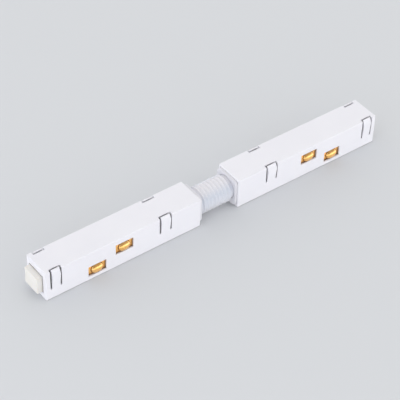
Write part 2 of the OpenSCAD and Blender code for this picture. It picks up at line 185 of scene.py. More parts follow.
class FeedContacts(bpy.types.PropertyGroup):
    """The pressed brass contacts."""

    sheet: length("Sheet", "Thickness of the brass sheet", 0.4)
    dome_rise: length("Dome rise", "Height of the dome's crown over the flat plate", 2.25)
    dome_width: length("Dome width", "Width of the dome across its spine", 6.9)
    dome_length: length("Dome length", "Length of the dome along its spine", 8.3)
    crown_radius: length("Crown radius", "Radius of the dome's crown, up to its shoulders", 6.3)
    fillet: length("Fillet", "Radius of the turn from the plate up into the dome", 0.2)
    leg_height: length("Leg height", "Height of the two bent legs", 4)
    bend: length("Bend", "Outer radius of the bend from the plate to a leg", 0.6)
    brass: colour("Brass", "Bright rolled brass", "#F7C580")
    dull_brass: colour("Dull brass", "Brass where handling has dulled it", "#E3A552")


class FeedCores(bpy.types.PropertyGroup):
    """The two insulated cores."""

    conductor: length("Conductor", "Diameter of the bare conductor", 1.4)
    bare: length("Bare length", "Length of bare conductor at each end", 3)
    positive: colour("Positive", "Insulation of the positive core", "#B3231D")
    negative: colour("Negative", "Insulation of the negative core", "#26272B")
    tin: colour("Tin", "Tinned copper of the conductors", "#C9CACC")


class FeedStage(bpy.types.PropertyGroup):
    """Floor, lamps and camera."""

    floor: colour("Floor", "Plain studio floor", "#D6D8DB")
    floor_width: length("Floor width", "Width of the square floor", 6000)
    overhead: FloatProperty(
        name="Overhead", description="Strength of the tent's light overhead", default=0.85, min=0)
    walls: FloatProperty(
        name="Walls", description="Strength of the tent's light low down", default=2.35, min=0)
    left: power("Left lamp", "Large low lamp that lights the left-hand ends", 2.0)
    left_tint: colour("Left lamp colour", "Daylight of the left lamp", "#D8E8FF")
    right: power("Right lamp", "Small lamp that the brass mirrors at its right shoulders", 0.5)
    right_tint: colour("Right lamp colour", "White of the right lamp", "#FFFFFF")
    turn: angle("Camera turn", "How far the camera stands round to the left of the front", 38.63)
    elevation: angle("Camera elevation", "Height of the camera above the horizon", 42.34)
    roll: angle("Camera roll", "Tilt of the camera about its own axis", 2.4)
    distance: length("Camera distance", "Distance from the camera to the part's origin", 991.85)
    lens: FloatProperty(
        name="Lens", description="Focal length in mm on a 36 mm sensor", default=147.2, min=10)
    shift: FloatVectorProperty(
        name="Shift", description="Lens shift across and up, in picture widths", size=2,
        default=(-0.0227, 0.0186))


def add_node(tree, kind, inputs=None, **settings):
    """A node with its settings, and its inputs set to a value or linked to another node's output."""
    node = tree.nodes.new(kind)
    for name, value in settings.items():
        setattr(node, name, value)
    for name, value in (inputs or {}).items():
        if isinstance(value, bpy.types.NodeSocket):
            tree.links.new(value, node.inputs[name])
        else:
            node.inputs[name].default_value = value
    return node


def start_material(name):
    """A material with an empty node tree, and the place on the piece in metres."""
    material = bpy.data.materials.new(name)
    material.use_nodes = True
    tree = material.node_tree
    tree.nodes.clear()
    return material, tree, add_node(tree, "ShaderNodeTexCoord").outputs["Object"]


def paint_gap_shade(tree, open_tint, gap, reach, closed, clear):
    """Painted shade: the open surface's tint, turned to the dark gap colour where walls within reach
    shut out the light.

    closed and clear are the shares of open air round a point in a gap and on the open surface."""
    air = add_node(tree, "ShaderNodeAmbientOcclusion", {"Distance": reach}, samples=8).outputs["AO"]
    opened = add_node(tree, "ShaderNodeMapRange", {
        "Value": air, "From Min": closed, "From Max": clear}).outputs["Result"]
    return add_node(tree, "ShaderNodeMix", {
        "Factor": opened, "A": gap, "B": open_tint}, data_type="RGBA").outputs["Result"]


def white_polycarbonate(name, white, flow_white, gap, painted_shade_reach):
    """Pigmented polycarbonate, injection moulded in a finely sparked steel tool."""
    # An even satin white: wide soft highlights, a just visible grain and faint long flow marks.
    # The tool's 0.1 mm spark grain is drawn at 0.4 mm, because the real one is finer than a pixel.
    # Slots and narrow gaps are given painted shade, warm and dark, where walls close round them
    material, tree, place = start_material(name)
    flow = add_node(tree, "ShaderNodeTexNoise", {"Vector": place, "Scale": 1 / (16 * MM)}).outputs["Fac"]
    grain = add_node(tree, "ShaderNodeTexNoise", {
        "Vector": place, "Scale": 1 / (0.4 * MM), "Detail": 3.0}).outputs["Fac"]
    open_white = add_node(tree, "ShaderNodeMix", {
        "Factor": flow, "A": white, "B": flow_white}, data_type="RGBA").outputs["Result"]
    tint = paint_gap_shade(tree, open_white, gap, painted_shade_reach, closed=0.15, clear=0.3)
    shine = add_node(tree, "ShaderNodeMapRange", {
        "Value": grain, "To Min": 0.36, "To Max": 0.48}).outputs["Result"]
    waves = add_node(tree, "ShaderNodeBump", {
        "Height": flow, "Distance": 0.05 * MM, "Strength": 0.4}).outputs["Normal"]
    skin = add_node(tree, "ShaderNodeBump", {
        "Height": grain, "Distance": 0.01 * MM, "Strength": 0.35, "Normal": waves}).outputs["Normal"]
    surface = add_node(tree, "ShaderNodeBsdfPrincipled", {
        "Base Color": tint,
        "Roughness": shine,
        "IOR": 1.585,
        "Subsurface Weight": 0.08,
        "Subsurface Radius": (1.0, 0.95, 0.9),
        "Subsurface Scale": 0.4 * MM,
        "Normal": skin,
    }).outputs["BSDF"]
    add_node(tree, "ShaderNodeOutputMaterial", {"Surface": surface})
    return material


def natural_polyamide(name, natural, deep, gap, painted_shade_reach):
    """Natural unpigmented polyamide, injection moulded."""
    # A warm, slightly waxy off-white: light sinks in a little, and the housing's shine is keener.
    # The tool's fine grain is drawn at 0.5 mm, coarser than it is, so that it shows.
    # Inside the housing and in narrow gaps it is given painted shade, dark where walls close round it
    material, tree, place = start_material(name)
    cloud = add_node(tree, "ShaderNodeTexNoise", {"Vector": place, "Scale": 1 / (7 * MM)}).outputs["Fac"]
    grain = add_node(tree, "ShaderNodeTexNoise", {
        "Vector": place, "Scale": 1 / (0.5 * MM), "Detail": 3.0}).outputs["Fac"]
    clouded = add_node(tree, "ShaderNodeMix", {
        "Factor": cloud, "A": natural, "B": deep}, data_type="RGBA").outputs["Result"]
    tint = paint_gap_shade(tree, clouded, gap, painted_shade_reach, closed=0.22, clear=0.5)
    shine = add_node(tree, "ShaderNodeMapRange", {
        "Value": grain, "To Min": 0.4, "To Max": 0.55}).outputs["Result"]
    skin = add_node(tree, "ShaderNodeBump", {
        "Height": grain, "Distance": 0.012 * MM, "Strength": 0.4}).outputs["Normal"]
    surface = add_node(tree, "ShaderNodeBsdfPrincipled", {
        "Base Color": tint,
        "Roughness": shine,
        "IOR": 1.53,
        "Subsurface Weight": 0.2,
        "Subsurface Radius": (1.0, 0.85, 0.65),
        "Subsurface Scale": 0.8 * MM,
        "Normal": skin,
    }).outputs["BSDF"]
    add_node(tree, "ShaderNodeOutputMaterial", {"Surface": surface})
    return material


def rolled_brass(name, brass, dull_brass):
    """Rolled brass sheet, pressed and burnished by the punch."""
    # A warm gold with clear but soft reflections: fine rolling lines along the strip and duller patches.
    # The rolling lines are 0.03 mm apart in reality and are drawn 0.12 mm apart
    material, tree, place = start_material(name)
    rolled = add_node(tree, "ShaderNodeMapping", {
        "Vector": place, "Scale": (0.06, 1, 1)}).outputs["Vector"]
    lines = add_node(tree, "ShaderNodeTexNoise", {
        "Vector": rolled, "Scale": 1 / (0.12 * MM)}).outputs["Fac"]
    patches = add_node(tree, "ShaderNodeTexNoise", {
        "Vector": place, "Scale": 1 / (1.6 * MM), "Detail": 3.0, "Roughness": 0.6}).outputs["Fac"]
    worn = add_node(tree, "ShaderNodeMapRange", {
        "Value": patches, "To Min": -0.4, "To Max": 1.2}).outputs["Result"]
    tint = add_node(tree, "ShaderNodeMix", {
        "Factor": worn, "A": brass, "B": dull_brass}, data_type="RGBA").outputs["Result"]
    shine = add_node(tree, "ShaderNodeMapRange", {
        "Value": patches, "To Min": 0.1, "To Max": 0.24}).outputs["Result"]
    dents = add_node(tree, "ShaderNodeBump", {
        "Height": patches, "Distance": 0.03 * MM, "Strength": 0.25}).outputs["Normal"]
    skin = add_node(tree, "ShaderNodeBump", {
        "Height": lines, "Distance": 0.004 * MM, "Strength": 0.3, "Normal": dents}).outputs["Normal"]
    surface = add_node(tree, "ShaderNodeBsdfPrincipled", {
        "Base Color": tint, "Metallic": 1.0, "Roughness": shine, "Normal": skin}).outputs["BSDF"]
    add_node(tree, "ShaderNodeOutputMaterial", {"Surface": surface})
    return material


def soft_vinyl(name, painted_top_light, painted_flank_shade, painted_under_light):
    """Plasticised vinyl, moulded as one corrugated sleeve."""
    # A cool, faintly translucent grey-white, matt and soft, with painted light: lighter along the top,
    # painted shade on the flanks, and paler below. The skin's fine grain is drawn at 0.35 mm, so that it
    # shows
    material, tree, place = start_material(name)
    grain = add_node(tree, "ShaderNodeTexNoise", {
        "Vector": place, "Scale": 1 / (0.35 * MM), "Detail": 3.0}).outputs["Fac"]
    height = add_node(tree, "ShaderNodeSeparateXYZ", {"Vector": place}).outputs["Z"]
    # Painted light and shade: the tint is mixed by height, from the pale underside through the cooler
    # flank to the lighter top
    low = add_node(tree, "ShaderNodeMapRange", {
        "Value": height, "From Min": CONDUIT_LOW.z, "From Max": FLANK_SHADE_HEIGHT}).outputs["Result"]
    high = add_node(tree, "ShaderNodeMapRange", {
        "Value": height, "From Min": FLANK_SHADE_HEIGHT, "From Max": CONDUIT_HIGH.z},
        interpolation_type="SMOOTHSTEP").outputs["Result"]
    lower = add_node(tree, "ShaderNodeMix", {
        "Factor": low, "A": painted_under_light, "B": painted_flank_shade}, data_type="RGBA").outputs["Result"]
    tint = add_node(tree, "ShaderNodeMix", {
        "Factor": high, "A": lower, "B": painted_top_light}, data_type="RGBA").outputs["Result"]
    shine = add_node(tree, "ShaderNodeMapRange", {
        "Value": grain, "To Min": 0.42, "To Max": 0.58}).outputs["Result"]
    skin = add_node(tree, "ShaderNodeBump", {
        "Height": grain, "Distance": 0.01 * MM, "Strength": 0.3}).outputs["Normal"]
    surface = add_node(tree, "ShaderNodeBsdfPrincipled", {
        "Base Color": tint,
        "Roughness": shine,
        "IOR": 1.52,
        "Subsurface Weight": 0.2,
        "Subsurface Radius": (1.0, 0.95, 0.9),
        "Subsurface Scale": 0.4 * MM,
        "Normal": skin,
    }).outputs["BSDF"]
    add_node(tree, "ShaderNodeOutputMaterial", {"Surface": surface})
    return material


def silicone_insulation(name, tint):
    """Extruded silicone wire insulation."""
    # A matt, evenly coloured skin with fine lines along the wire from the extrusion die.
    # They are drawn 0.2 mm apart, coarser than they are, so that they show
    material, tree, place = start_material(name)
    drawn = add_node(tree, "ShaderNodeMapping", {
        "Vector": place, "Scale": (0.05, 1, 1)}).outputs["Vector"]
    lines = add_node(tree, "ShaderNodeTexNoise", {
        "Vector": drawn, "Scale": 1 / (0.2 * MM)}).outputs["Fac"]
    shine = add_node(tree, "ShaderNodeMapRange", {
        "Value": lines, "To Min": 0.45, "To Max": 0.6}).outputs["Result"]
    skin = add_node(tree, "ShaderNodeBump", {
        "Height": lines, "Distance": 0.01 * MM, "Strength": 0.3}).outputs["Normal"]
    surface = add_node(tree, "ShaderNodeBsdfPrincipled", {
        "Base Color": tint, "Roughness": shine, "IOR": 1.43, "Normal": skin}).outputs["BSDF"]
    add_node(tree, "ShaderNodeOutputMaterial", {"Surface": surface})
    return material


def tinned_copper(name, tin):
    """Copper wire with a dipped tin coat."""
    # A pale grey metal with a soft, slightly uneven shine
    material, tree, place = start_material(name)
    dip = add_node(tree, "ShaderNodeTexNoise", {
        "Vector": place, "Scale": 1 / (0.5 * MM), "Detail": 3.0}).outputs["Fac"]
    shine = add_node(tree, "ShaderNodeMapRange", {
        "Value": dip, "To Min": 0.28, "To Max": 0.42}).outputs["Result"]
    skin = add_node(tree, "ShaderNodeBump", {
        "Height": dip, "Distance": 0.02 * MM, "Strength": 0.3}).outputs["Normal"]
    surface = add_node(tree, "ShaderNodeBsdfPrincipled", {
        "Base Color": tin, "Metallic": 1.0, "Roughness": shine, "Normal": skin}).outputs["BSDF"]
    add_node(tree, "ShaderNodeOutputMaterial", {"Surface": surface})
    return material


def smooth_by_angle():
    """Geometry nodes, made once, that shade a mesh smooth apart from the edges that stay crisp."""
    group = bpy.data.node_groups.get("smooth_by_angle")
    if group:
        return group
    group = bpy.data.node_groups.new("smooth_by_angle", "GeometryNodeTree")
    group.interface.new_socket("Geometry", in_out="INPUT", socket_type="NodeSocketGeometry")
    group.interface.new_socket("Geometry", in_out="OUTPUT", socket_type="NodeSocketGeometry")
    start = add_node(group, "NodeGroupInput")
    turn = add_node(group, "GeometryNodeInputMeshEdgeAngle").outputs["Unsigned Angle"]
    flat = add_node(group, "FunctionNodeCompare", {
        "A": turn, "B": CRISP_TURN}, data_type="FLOAT", operation="LESS_THAN").outputs["Result"]
    faces = add_node(group, "GeometryNodeSetShadeSmooth", {
        "Geometry": start.outputs["Geometry"]}, domain="FACE")
    edges = add_node(group, "GeometryNodeSetShadeSmooth", {
        "Geometry": faces.outputs["Geometry"], "Shade Smooth": flat}, domain="EDGE")
    add_node(group, "NodeGroupOutput", {"Geometry": edges.outputs["Geometry"]})
    return group


def shade_softly(piece, even_flats=True):
    """Smooth shading with crisp edges, where large flats keep an even tone up to their rounded edges."""
    smooth = piece.modifiers.new("smooth", "NODES")
    smooth.node_group = smooth_by_angle()
    if even_flats:
        weight = piece.modifiers.new("weighted_normals", "WEIGHTED_NORMAL")
        weight.keep_sharp = True


def dress(node, material, edge, whole_flats=True):
    """A carried-over piece with its material and with softly rounded edges."""
    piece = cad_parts[node]
    piece.material_slots[0].material = material
    weld = piece.modifiers.new("weld", "WELD")
    weld.merge_threshold = WELD_REACH
    if whole_flats:
        flat = piece.modifiers.new("flat_faces", "DECIMATE")
        flat.decimate_type = "DISSOLVE"
        flat.angle_limit = FLAT_BEND
    bevel = piece.modifiers.new("rounded_edges", "BEVEL")
    bevel.width = edge
    bevel.segments = 3
    bevel.limit_method = "ANGLE"
    bevel.angle_limit = ROUNDED_TURN
    bevel.use_clamp_overlap = False
    shade_softly(piece)


def new_piece(name, points, faces, material):
    """A smooth-shaded mesh piece of the part, in its place."""
    mesh = bpy.data.meshes.new(name)
    mesh.from_pydata([tuple(p) for p in points], [], faces)
    mesh.materials.append(material)
    mesh.shade_smooth()
    mesh.update()
    piece = bpy.data.objects.new(name, mesh)
    bpy.context.scene.collection.objects.link(piece)
    return piece


def lathe(name, profile, axis, sides, closed, material):
    """A piece turned about a line along X: profile holds (x, radius), and a closed one is a sleeve."""
    points, rings = [], []
    for x, radius in profile:
        count = sides if radius > 0 else 1
        rings.append(range(len(points), len(points) + count))
        for i in range(count):
            a = 2 * math.pi * i / sides
            points.append(axis + Vector((x, radius * math.cos(a), radius * math.sin(a))))
    faces = []
    pairs = list(zip(rings, rings[1:]))
    if closed:
        pairs.append((rings[-1], rings[0]))
    for first, second in pairs:
        for i in range(sides):
            j = (i + 1) % sides
            corners = [
                first[i % len(first)], second[i % len(second)],
                second[j % len(second)], first[j % len(first)]]
            faces.append(list(dict.fromkeys(corners)))
    piece = new_piece(name, points, faces, material)
    piece.data.set_sharp_from_angle(angle=TURNED_CRISP_TURN)
    return piece


def stations(start, end, step):
    """Evenly spaced places from a start to an end, both included."""
    count = max(1, round(abs(end - start) / step))
    return [start + (end - start) * i / count for i in range(count + 1)]


def bend_thirds(pitch):
    """The three lengths of the soft pieces, each with the joint that it bends across.

    The middle one spans three rings."""
    inner = 1.5 * pitch
    return (
        ("left", "left_plug", "conduit_link", -CAP_FACE, -inner),
        ("middle", "conduit_link", "core_link", -inner, inner),
        ("right", "core_link", "right_plug", inner, CAP_FACE),
    )


class POWERFEED_OT_housings(bpy.types.Operator):
    """Finish the housings and their bottom covers"""

    bl_idname = "power_feed.housings"
    bl_label = "Housings and covers"

    def execute(self, context):
        look = context.scene.feed_mouldings
        white = white_polycarbonate(
            "white_polycarbonate_moulded", look.white, look.flow_white, look.gap, look.painted_shade_reach)
        for side in SIDES:
            # The hooks stand on the cover's flat, which is left as triangles
            dress(f"{side}_housing", white, look.housing_edge)
            dress(f"{side}_bottom_cover", white, look.housing_edge, whole_flats=False)
        return {"FINISHED"}


def corner_loop(half_width, low, high, corner, swell=0.0):
    """Rectangle with round corners as (y, z) points, its two sides swollen outwards if asked."""
    arc_step, side_step = QUARTER / 8, 1 / 12
    arcs = []
    for turn, across, up in ((0, 1, 1), (1, -1, 1), (2, -1, -1), (3, 1, -1)):
        centre_y = across * (half_width - corner)
        centre_z = high - corner if up > 0 else low + corner
        arcs.append([
            (centre_y + corner * math.cos(a), centre_z + corner * math.sin(a))
            for a in stations(turn * QUARTER, (turn + 1) * QUARTER, arc_step)])
    points = []
    for arc, following, out in zip(arcs, arcs[1:] + arcs[:1], (0, -swell, 0, swell)):
        (y, z), (next_y, next_z) = arc[-1], following[0]
        points += arc
        points += [
            (y + (next_y - y) * t + out, z + (next_z - z) * t) for t in stations(0, 1, side_step)[1:-1]]
    return points


def cap_sections(s, conduit):
    """Closed sleeve of a cap as (x, outline): the bore's mouth, the flange, the plug and its far end."""
    low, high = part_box("right_conduit_cap")
    plug_low, plug_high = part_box("right_contact_carrier")
    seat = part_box("right_housing")[0].x
    half, plug_half, turn_step = s.flange_width / 2, plug_high.y, QUARTER / 3
    bore = CONDUIT_CREST - conduit.neck_depth + s.bore_gap
    outline = corner_loop(half, low.z, high.z, s.flange_corner)
    ways = [math.atan2(z - CONDUIT_AXIS.z, y) for y, z in outline]
    # How far in and how far back a rounded edge lies, from the face round to the side
    rounding = [
        (s.edge * (1 - math.sin(a)), s.edge * (1 - math.cos(a)))
        for a in stations(0, QUARTER, turn_step)]

    def circle(radius):
        return [(radius * math.cos(a), CONDUIT_AXIS.z + radius * math.sin(a)) for a in ways]

    def flange(inset):
        return corner_loop(half - inset, low.z + inset, high.z - inset, s.flange_corner - inset)

    def plug(inset, swell=0.0):
        return corner_loop(
            plug_half - inset, plug_low.z + inset, plug_high.z - inset, s.plug_corner - inset, swell)

    sections = [(low.x + back, circle(bore + inset)) for inset, back in reversed(rounding)]
    sections += [(low.x + back, flange(inset)) for inset, back in rounding]
    sections += [(seat - back, flange(inset)) for inset, back in reversed(rounding)]
    sections.append((seat, plug(0)))
    sections += [
        ((seat + high.x) / 2 - s.bead * math.cos(a), plug(0, s.bead * math.sin(a)))
        for a in stations(0, 2 * QUARTER, turn_step)]
    sections += [(high.x - back, plug(inset)) for inset, back in reversed(rounding)]
    sections.append((high.x, circle(bore)))
    return sections


class POWERFEED_OT_caps(bpy.types.Operator):
    """Model the conduit caps over their plain forms"""

    bl_idname = "power_feed.caps"
    bl_label = "Conduit caps"

    def execute(self, context):
        s, gap = context.scene.feed_caps, context.scene.feed_mouldings.gap
        # The caps' greyer white is painted shade, and their slots and gaps take the painted gap shade
        white = white_polycarbonate("white_polycarbonate_cap_painted_shade", s.white, s.flow_white, gap, s.painted_shade_reach)
        sections = cap_sections(s, context.scene.feed_conduit)
        for side, way in (("left", -1), ("right", 1)):
            points, faces = [], []
            for x, loop in sections:
                points += [Vector((way * x, y, z)) for y, z in loop]
            count = len(sections[0][1])
            for first in range(0, len(points), count):
                second = (first + count) % len(points)
                for i, j in zip(range(count), (*range(1, count), 0)):
                    # The corners of the left cap's faces run the other way round, as it is mirrored
                    faces.append([first + i, first + j, second + j, second + i][::way])
            piece = new_piece(f"{side}_cap_moulding", points, faces, white)
            shade_softly(piece)
            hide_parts(f"{side}_conduit_cap")
            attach(piece, f"{side}_plug")
        return {"FINISHED"}


class POWERFEED_OT_carriers(bpy.types.Operator):
    """Finish the contact carriers, whose noses stand out of the bars' ends"""

    bl_idname = "power_feed.carriers"
    bl_label = "Contact carriers"

    def execute(self, context):
        look = context.scene.feed_mouldings
        natural = natural_polyamide(
            "natural_polyamide_moulded", look.natural, look.deep_natural, look.gap, look.painted_shade_reach)
        for side in SIDES:
            dress(f"{side}_contact_carrier", natural, look.carrier_edge)
        return {"FINISHED"}


class POWERFEED_OT_buses(bpy.types.Operator):
    """Finish the stamped bus strips inside the carriers"""

    bl_idname = "power_feed.buses"
    bl_label = "Bus strips"

    def execute(self, context):
        look, contacts = context.scene.feed_mouldings, context.scene.feed_contacts
        brass = rolled_brass("brass_strip_stamped", contacts.brass, contacts.dull_brass)
        for side in SIDES:
            for row in ("upper", "lower"):
                dress(f"{side}_{row}_bus", brass, look.strip_edge)
        return {"FINISHED"}


def dome_section(s):
    """Half section of the dome, from the foot to the crown: distances from the spine and heights."""
    half, rise, crown = s.dome_width / 2, s.dome_rise, s.crown_radius
    # The shoulder's arc runs into the crown's without a kink: its radius, and where it does so
    shoulder = (2 * crown * rise - rise ** 2 - half ** 2) / (2 * (crown - half))
    turn = math.asin((half - shoulder) / (crown - shoulder))
    start = math.asin(s.fillet / shoulder)
    foot = half - shoulder * (1 - math.cos(start)) + s.fillet
    fillet_step, shoulder_step, crown_step = QUARTER / 4, QUARTER / 10, turn / 6
    points = [
        (foot - s.fillet * math.sin(a), s.fillet * (1 - math.cos(a)))
        for a in stations(0, QUARTER, fillet_step)]
    points += [
        (half - shoulder + shoulder * math.cos(a), shoulder * math.sin(a))
        for a in stations(start, QUARTER - turn, shoulder_step)[1:]]
    points += [
        (crown * math.sin(a), rise - crown * (1 - math.cos(a)))
        for a in stations(turn, 0, crown_step)[1:]]
    return points


def pressed_sheet(low, high, s):
    """Outer skin of a contact facing -Y: the plate, its pressed dome and a bent leg at each end."""
    middle, plate_y = (low + high) / 2, low.y + s.dome_rise
    half_l, half_h = (high.x - low.x) / 2 - s.bend, (high.z - low.z) / 2
    spine = (s.dome_length - s.dome_width) / 2
    reach = half_l - spine
    corner, leg = math.atan2(half_h, reach), math.atan2(s.leg_height / 2, reach)
    fan_step, bend_step = QUARTER / 12, QUARTER / 6
    fan = sorted(stations(-QUARTER, QUARTER, fan_step) + [corner, -corner, leg, -leg])
    turns = [(spine, a) for a in fan] + [(-spine, math.pi + a) for a in fan]
    points, rings, faces = [], [], []

    def add_point(along, up, height):
        points.append(Vector((middle.x + along, plate_y - height, middle.z + up)))
        return len(points) - 1

    # How far the plate's edge is, each way out from the spine's ends. A level way never meets its sides
    tiny = 1e-9
    outline = [min(reach / abs(math.cos(a)), half_h / max(abs(math.sin(a)), tiny)) for _, a in turns]
    rings.append([
        add_point(c + r * math.cos(a), r * math.sin(a), 0) for (c, a), r in zip(turns, outline)])
    section = dome_section(s)
    for out, height in section[:-1]:
        rings.append([add_point(c + out * math.cos(a), out * math.sin(a), height) for c, a in turns])
    tips = [add_point(c, 0, section[-1][1]) for c in (spine, -spine)]
    rings.append([tips[0]] * len(fan) + [tips[1]] * len(fan))
    for outer, inner in zip(rings, rings[1:]):
        for i, j in zip(range(len(turns)), (*range(1, len(turns)), 0)):
            faces.append(list(dict.fromkeys([outer[i], outer[j], inner[j], inner[i]])))

    # Each end is bent down into a leg at its middle and stays flat above and below it
    bend = [
        (s.bend * math.sin(a), -s.bend * (1 - math.cos(a))) for a in stations(0, QUARTER, bend_step)[1:]]
    bend.append((s.bend, plate_y - high.y))
    flat = [(s.bend, 0)]
    for side, ring in ((1, rings[0][:len(fan)]), (-1, rings[0][len(fan):])):
        for first, final, path in ((-leg, leg, bend), (-corner, -leg, flat), (leg, corner, flat)):
            last = [index for index, a in zip(ring, fan) if first <= a <= final]
            rise = [points[index].z - middle.z for index in last]
            for out, height in path:
                new = [add_point(side * (half_l + out), up, height) for up in rise]
                for k in range(len(new) - 1):
                    faces.append([last[k], new[k], new[k + 1], last[k + 1]])
                last = new
    return points, faces


class POWERFEED_OT_contacts(bpy.types.Operator):
    """Model the eight pressed contacts over their plain forms"""

    bl_idname = "power_feed.contacts"
    bl_label = "Contacts"

    def execute(self, context):
        s = context.scene.feed_contacts
        brass = rolled_brass("brass_sheet_pressed", s.brass, s.dull_brass)
        for side in SIDES:
            for row in ROWS:
                node = f"{side}_{row}_contact"
                low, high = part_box(node)
                back = row.startswith("back")
                if back:
                    low, high = Vector((low.x, -high.y, low.z)), Vector((high.x, -low.y, high.z))
                points, faces = pressed_sheet(low, high, s)
                if back:
                    points = [Vector((p.x, -p.y, p.z)) for p in points]
                    faces = [f[::-1] for f in faces]
                piece = new_piece(f"{side}_{row}_pressing", points, faces, brass)
                sheet = piece.modifiers.new("sheet", "SOLIDIFY")
                sheet.thickness = s.sheet
                sheet.offset = -1
                sheet.use_even_offset = True
                shade_softly(piece, even_flats=False)
                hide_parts(node)
                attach(piece, f"{side}_{row}")
        return {"FINISHED"}


def conduit_radius(x, s):
    """Radius of the conduit's outside at a place along it, up to the caps."""
    last_crest = (s.rings - 1) / 2 * s.ring_pitch
    if abs(x) <= last_crest:
        floor = CONDUIT_CREST - s.groove_depth
        away = abs((x / s.ring_pitch + s.rings / 2) % 1 - 0.5) * s.ring_pitch
    else:
        floor = CONDUIT_CREST - s.neck_depth
        away = abs(x) - last_crest
    swell = 0.5 + 0.5 * math.cos(math.pi * min(away / s.ring_foot, 1))
    return floor + (CONDUIT_CREST - floor) * swell


def conduit_profile(start, end, s):
    """Closed section of a length of the conduit, with its collar where it reaches an end."""
    groove = CONDUIT_CREST - s.groove_depth
    tip = CONDUIT_HIGH.x
    collar_at = tip - s.collar_length
    step = s.ring_pitch / CONDUIT_STEPS_PER_RING
    places = stations(max(start, -CAP_FACE), min(end, CAP_FACE), step)
    # A last narrow step at each end keeps the shading of the crest whole where two lengths meet
    places = [places[0], places[0] + s.seam_step, *places[1:-1], places[-1] - s.seam_step, places[-1]]
    outer = [(x, conduit_radius(x, s)) for x in places]
    neck, collar = CONDUIT_CREST - s.neck_depth, CONDUIT_CREST - s.collar_depth
    beyond = [(collar_at, neck), (collar_at, collar), (tip, collar)]
    if end > CAP_FACE:
        outer += beyond
    if start < -CAP_FACE:
        outer = [(-x, r) for x, r in reversed(beyond)] + outer
    inner = [(x, min(r, groove) - s.wall) for x, r in outer if r != collar]
    if end > CAP_FACE:
        inner.append((tip, neck - s.wall))
    if start < -CAP_FACE:
        inner.insert(0, (-tip, neck - s.wall))
    return outer + inner[::-1]


class POWERFEED_OT_conduit(bpy.types.Operator):
    """Model the soft corrugated conduit in three lengths, split at the joints"""

    bl_idname = "power_feed.conduit"
    bl_label = "Conduit"

    def execute(self, context):
        s = context.scene.feed_conduit
        vinyl = soft_vinyl("soft_vinyl_moulded", s.painted_top_light, s.painted_flank_shade, s.painted_under_light)
        tip = CONDUIT_HIGH.x
        for name, before, after, start, end in bend_thirds(s.ring_pitch):
            first = -tip if name == "left" else start
            last = tip if name == "right" else end
            section = conduit_profile(first, last, s)
            piece = lathe(
                f"conduit_{name}", section, CONDUIT_AXIS, CONDUIT_SIDES, True, vinyl)
            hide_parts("conduit")
            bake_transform(piece)
        return {"FINISHED"}


def core_profile(name, start, end, radius, tip, s):
    """Section of one length of a core, with the bare conductor where it reaches a tip."""
    wire, bare_at, softened = s.conductor / 2, tip - s.bare, radius / 10
    first = -bare_at if name == "left" else start
    last = bare_at if name == "right" else end
    skin = [(x, radius) for x in stations(first, last, CORE_STEP)]
    left_end, right_end = [(first, 0)], [(last, 0)]
    if name == "left":
        skin[0] = (first + softened, radius)
        left_end = [
            (-tip, 0), (-tip, wire - softened), (-tip + softened, wire),
            (first, wire), (first, radius - softened)]
    if name == "right":
        skin[-1] = (last - softened, radius)
        right_end = [
            (last, radius - softened), (last, wire),
            (tip - softened, wire), (tip, wire - softened), (tip, 0)]
    return left_end + skin + right_end


class POWERFEED_OT_cores(bpy.types.Operator):
    """Model the two insulated cores in three lengths, split where the conduit's lengths are"""

    bl_idname = "power_feed.cores"
    bl_label = "Cores"

    def execute(self, context):
        s, pitch = context.scene.feed_cores, context.scene.feed_conduit.ring_pitch
        tinned = tinned_copper("tinned_copper_drawn", s.tin)
        for core, tint in (("positive", s.positive), ("negative", s.negative)):
            low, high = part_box(f"{core}_core")
            axis = Vector((0, 0, (low.z + high.z) / 2))
            skin = silicone_insulation(f"{core}_silicone_extruded", tint)
            for name, before, after, start, end in bend_thirds(pitch):
                section = core_profile(name, start, end, (high.z - low.z) / 2, high.x, s)
                piece = lathe(
                    f"{core}_core_{name}", section, axis, CORE_SIDES, False, skin)
                piece.data.materials.append(tinned)
                for face in piece.data.polygons:
                    face.material_index = int(abs(face.center.x) > high.x - s.bare)
                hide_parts(f"{core}_core")
                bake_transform(piece)
        return {"FINISHED"}


def floor_card(name, tint):
    """Matt studio card."""
    # An even pale ground that takes a soft shadow and shows no shine.
    # Metal mirrors the tent's lit strip through it, as it would from a glass table
    material, tree, place = start_material(name)
    fibre = add_node(tree, "ShaderNodeTexNoise", {
        "Vector": place, "Scale": 1 / (1.5 * MM), "Detail": 3.0}).outputs["Fac"]
    shine = add_node(tree, "ShaderNodeMapRange", {
        "Value": fibre, "To Min": 0.85, "To Max": 0.95}).outputs["Result"]
    card = add_node(tree, "ShaderNodeBsdfPrincipled", {
        "Base Color": tint, "Roughness": shine, "Specular IOR Level": 0.2}).outputs["BSDF"]
    clear = add_node(tree, "ShaderNodeBsdfTransparent").outputs["BSDF"]
    mirrored = add_node(tree, "ShaderNodeLightPath").outputs["Is Glossy Ray"]
    mixed = add_node(tree, "ShaderNodeMixShader", {0: mirrored, 1: card, 2: clear}).outputs["Shader"]
    add_node(tree, "ShaderNodeOutputMaterial", {"Surface": mixed})
    return material


def add_lamp(name, watts, tint, direction, distance, width, height):
    """A soft lamp that faces the part from a direction, with its distance and size in metres."""
    lamp = bpy.data.lights.new(name, "AREA")
    lamp.shape = "RECTANGLE"
    lamp.size, lamp.size_y, lamp.energy = width, height, watts
    lamp.color = tint[:3]
    holder = bpy.data.objects.new(name, lamp)
    away = Vector(direction).normalized()
    holder.location = away * distance
    holder.rotation_euler = (-away).to_track_quat("-Z", "Y").to_euler()
    bpy.context.scene.collection.objects.link(holder)


